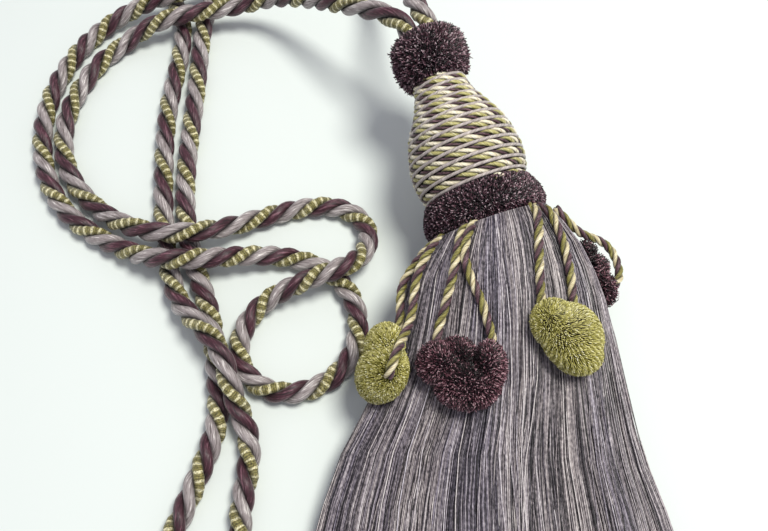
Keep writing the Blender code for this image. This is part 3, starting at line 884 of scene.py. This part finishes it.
# painted shade: the ground under the pile is dark
pileBase = shadedYarnFinish("pile's ground, in painted shade", "#1c0f17")
for node, values in ruffs.items():
    name, outline = node.replace("_ruff", "Ruff"), values["outline"]
    inner = outline[:pileValues["groundPoints"]]
    ground = turnedBody(name + "Ground", inner, pileValues["groundSink"], pileBase, pileValues["groundRows"])
    pile = ruffTufts(outline, values["tufts"], values["length"], values["ragged"], values["meanTone"])
    cutPile = buildMesh(name + "Pile", [pile], [plumPile, plumPileEndShade])
    settle(ground, "plum_pile", node)
    settle(cutPile, "plum_pile")
print("ruffs made")

# each rosette: place down the skirt, angle, tufts, how strongly they are combed from the cord's entry,
# lie in rows and take painted shade about it, how unevenly deep, toned and straight and how thick they are,
# finish and slot; its lobes in mm, as the place across, down the skirt and out of the pad's foot, then the
# half sizes the same ways
rosettes = {
    "rosette_olive_left": {
        "down": 3.60, "angle": -70, "tufts": 7200, "comb": 0.1, "rows": 0.08,
        "entry": (11, 9), "hollow": 0.25, "ragged": 0.14, "scatter": 0.25, "lean": 0.08, "thick": 0.00029,
        "finish": olivePile, "slot": "olive_pile",
        "lobes": ((1.8, 6.2, 6, 16.0, 14, 8.5), (3.5, -6.0, 5.2, 11.5, 11, 7.8)),
    },
    "rosette_plum_front": {
        "down": 3.85, "angle": -20, "tufts": 11000, "comb": 0.2, "rows": 0.08,
        "entry": (3, -5), "hollow": 0.50, "ragged": 0.35, "scatter": 0.27, "lean": 0.20, "thick": 0.00024,
        "finish": redPlumPile, "slot": "plum_pile",
        "lobes": ((-10.5, -6, 5, 10, 10.2, 7), (1.5, 4.8, 5, 14.5, 10.5, 7.5), (11.6, -4, 5, 7.6, 11.4, 7),
                  (-2.4, -11, 4, 8.5, 7, 5.5), (2, -4, 2, 9, 8, 6)),
    },
    "rosette_olive_right": {
        "down": 3.36, "angle": 27, "tufts": 7400, "comb": 0.4, "rows": 0.26,
        "entry": (-11, -9), "hollow": 0.12, "ragged": 0.10, "scatter": 0.14, "lean": 0.07, "thick": 0.00029,
        "finish": olivePile, "slot": "olive_pile",
        "lobes": ((1.2, -1.0, 5, 14.8, 15.4, 8.5), (-6.5, -6.0, 4.8, 11.6, 11.6, 7.6),
                  (3.2, 6.5, 5, 12, 10, 7.5)),
    },
    "rosette_plum_right": {
        "down": 1.85, "angle": 101, "tufts": 4400, "comb": 0.2, "rows": 0.06,
        "entry": (0, -12), "hollow": 0.45, "ragged": 0.75, "scatter": 0.27, "lean": 0.40, "thick": 0.00027,
        "finish": redPlumPile, "slot": "plum_pile",
        "lobes": ((0, -13.3, 2.5, 5.5, 5.5, 4.5), (-4, -3, 3.5, 6, 6, 5), (3, -5, 4.5, 6, 6, 5),
                  (0, 7, 6.5, 7.5, 8.5, 5.5), (-3, 2, 3, 6, 6, 5)),
    },
}


def padFrame(values):
    # the pad's foot on the skirt, and its three ways: across, down the skirt and out of it
    foot, outward = skirtPoint(np.array(values["down"]), np.radians(values["angle"]),
                               np.array(pileValues["padClearance"]))
    across = unit(np.cross([0.0, 1.0, 0.0], outward))
    return foot, np.stack([across, np.cross(across, outward), outward])


def lobePoints(lobe, direction, inset):
    # an ellipsoid: middle + half size * direction, and the way out of it, direction / half size
    middle, half = np.array(lobe[:3]), np.array(lobe[3:]) - inset / mm
    return middle + half * direction, unit(direction / half)


def padTips(lobes, tuftCount):
    # a sunflower spiral over each lobe, a golden angle apart, without those inside another lobe
    sizes = np.array([(a * b + b * c + c * a) for _, _, _, a, b, c in lobes])
    tips, outs = [], []
    for lobe, count in zip(lobes, (tuftCount * sizes / sizes.sum()).astype(int)):
        step = np.arange(count) + 0.5
        rise = 1 - pileValues["padReach"] * step / count
        spin = step * math.pi * (3 - math.sqrt(5))
        flat = np.sqrt(1 - rise**2)
        direction = np.stack([flat * np.cos(spin), flat * np.sin(spin), rise], axis=-1)
        spot, out = lobePoints(lobe, direction, 0.0)
        clear = np.ones(count, bool)
        for other in lobes:
            if other is not lobe:
                inside = (((spot - other[:3]) / np.array(other[3:])) ** 2).sum(-1)
                clear &= inside > pileValues["overlap"]
        tips.append(spot[clear])
        outs.append(out[clear])
    return np.concatenate(tips), np.concatenate(outs)


def padGround(lobes, foot, ways):
    # a closed ellipsoid under each lobe's pile
    rows, sides = pileValues["lobeRows"], pileValues["lobeSides"]
    latitude = np.linspace(-0.97, 0.97, rows)[:, None] * np.pi / 2
    spin = ring(sides)
    way = np.stack(np.broadcast_arrays(np.cos(latitude) * np.cos(spin), np.cos(latitude) * np.sin(spin),
                                       np.sin(latitude)), axis=-1)
    if np.linalg.det(ways) < 0:    # so that the faces point outwards
        way = way[:, ::-1]
    inset = pileValues["padDepth"] * 0.6
    return [gridPart(foot + lobePoints(lobe, way, inset)[0] * mm @ ways, np.linspace(0, 20, rows))
            for lobe in lobes]


def rosettePile(node, values):
    # each tuft leans away from the cord's entry, and its tone follows rows that fan out from there, with
    # painted shade in the hollow about the entry
    foot, ways = padFrame(values)
    tips, outs = padTips(values["lobes"], values["tufts"])
    away = tips[:, :2] - values["entry"]
    fan = np.arctan2(away[:, 1], away[:, 0])
    combed = outs + values["comb"] * np.pad(unit(away + 0.01), ((0, 0), (0, 1)))
    # painted shade: tufts are darker in the hollow about the cord's entry
    dark = values["hollow"] * np.exp(-((away / pileValues["hollowMm"]) ** 2).sum(-1))
    fanned = values["rows"] * np.sin(pileValues["fanRows"] * fan)
    tone = pileValues["padTone"] - dark + fanned + draw.normal(0, values["scatter"], len(tips))
    jitter = draw.normal(0, pileValues["jitterMm"], tips.shape)
    tips = tips + jitter + outs * draw.normal(0, values["ragged"], (len(tips), 1))
    depth = pileValues["padDepth"] + pileValues["rootDepth"]
    part = tufts(foot + tips * mm @ ways, unit(combed) @ ways, depth, values["thick"], np.clip(tone, 0, 1),
                 values["lean"])
    pile = buildMesh(node.replace("rosette_", "rosettePile_"), [part], [values["finish"]])
    ground = buildMesh(node.replace("rosette_", "rosetteGround_"), padGround(values["lobes"], foot, ways),
                       [pileBase])
    settle(ground, values["slot"], node)
    settle(pile, values["slot"])


for node, values in rosettes.items():
    rosettePile(node, values)
print("rosettes made")


# floor and light

stageValues = {
    "floorHalf": 2.5,
    "floorColour": "#e0e7e4",
    "floorDrop": 0.0003,       # nothing lies in the floor's own plane
    "keyPlace": (0.37, 0.05, 1.30),
    "keyTarget": (-0.03, 0.03, 0.0),
    "keySize": 0.50,
    "keyWatts": 18.0,
    "keyColour": "#fffef6",
    "worldStrength": 0.52,
    "worldColour": "#ecebf7",
}
half = stageValues["floorHalf"]
floorMesh = bpy.data.meshes.new("floor")
corners = [(-half, -half, 0), (half, -half, 0), (half, half, 0), (-half, half, 0)]
floorMesh.from_pydata(corners, [], [(0, 1, 2, 3)])
floor = bpy.data.objects.new("floor", floorMesh)
floor.location = (0, 0, -stageValues["floorDrop"])
bpy.context.scene.collection.objects.link(floor)
floorFinish, _, floorShader = newFinish("matt white board", 0.9, 0.0, 0.2)
floorShader.inputs["Base Color"].default_value = linear(stageValues["floorColour"])
floorMesh.materials.append(floorFinish)
keyData = bpy.data.lights.new("key", "AREA")
keyData.shape = "DISK"
keyData.size = stageValues["keySize"]
keyData.energy = stageValues["keyWatts"]
keyData.color = linear(stageValues["keyColour"])[:3]
key = bpy.data.objects.new("key", keyData)
key.location = stageValues["keyPlace"]
reach = np.array(stageValues["keyTarget"]) - np.array(stageValues["keyPlace"])
tilt = math.acos(-reach[2] / np.linalg.norm(reach))
key.rotation_euler = (tilt, 0, math.atan2(reach[1], reach[0]) - math.pi / 2)
bpy.context.scene.collection.objects.link(key)
world = bpy.data.worlds.new("studio")
world.use_nodes = True
sky = world.node_tree.nodes["Background"]
sky.inputs["Color"].default_value = linear(stageValues["worldColour"])
sky.inputs["Strength"].default_value = stageValues["worldStrength"]
bpy.context.scene.world = world
bpy.context.scene.view_settings.view_transform = "Standard"    # hex colours come out as they are
print("stage set")
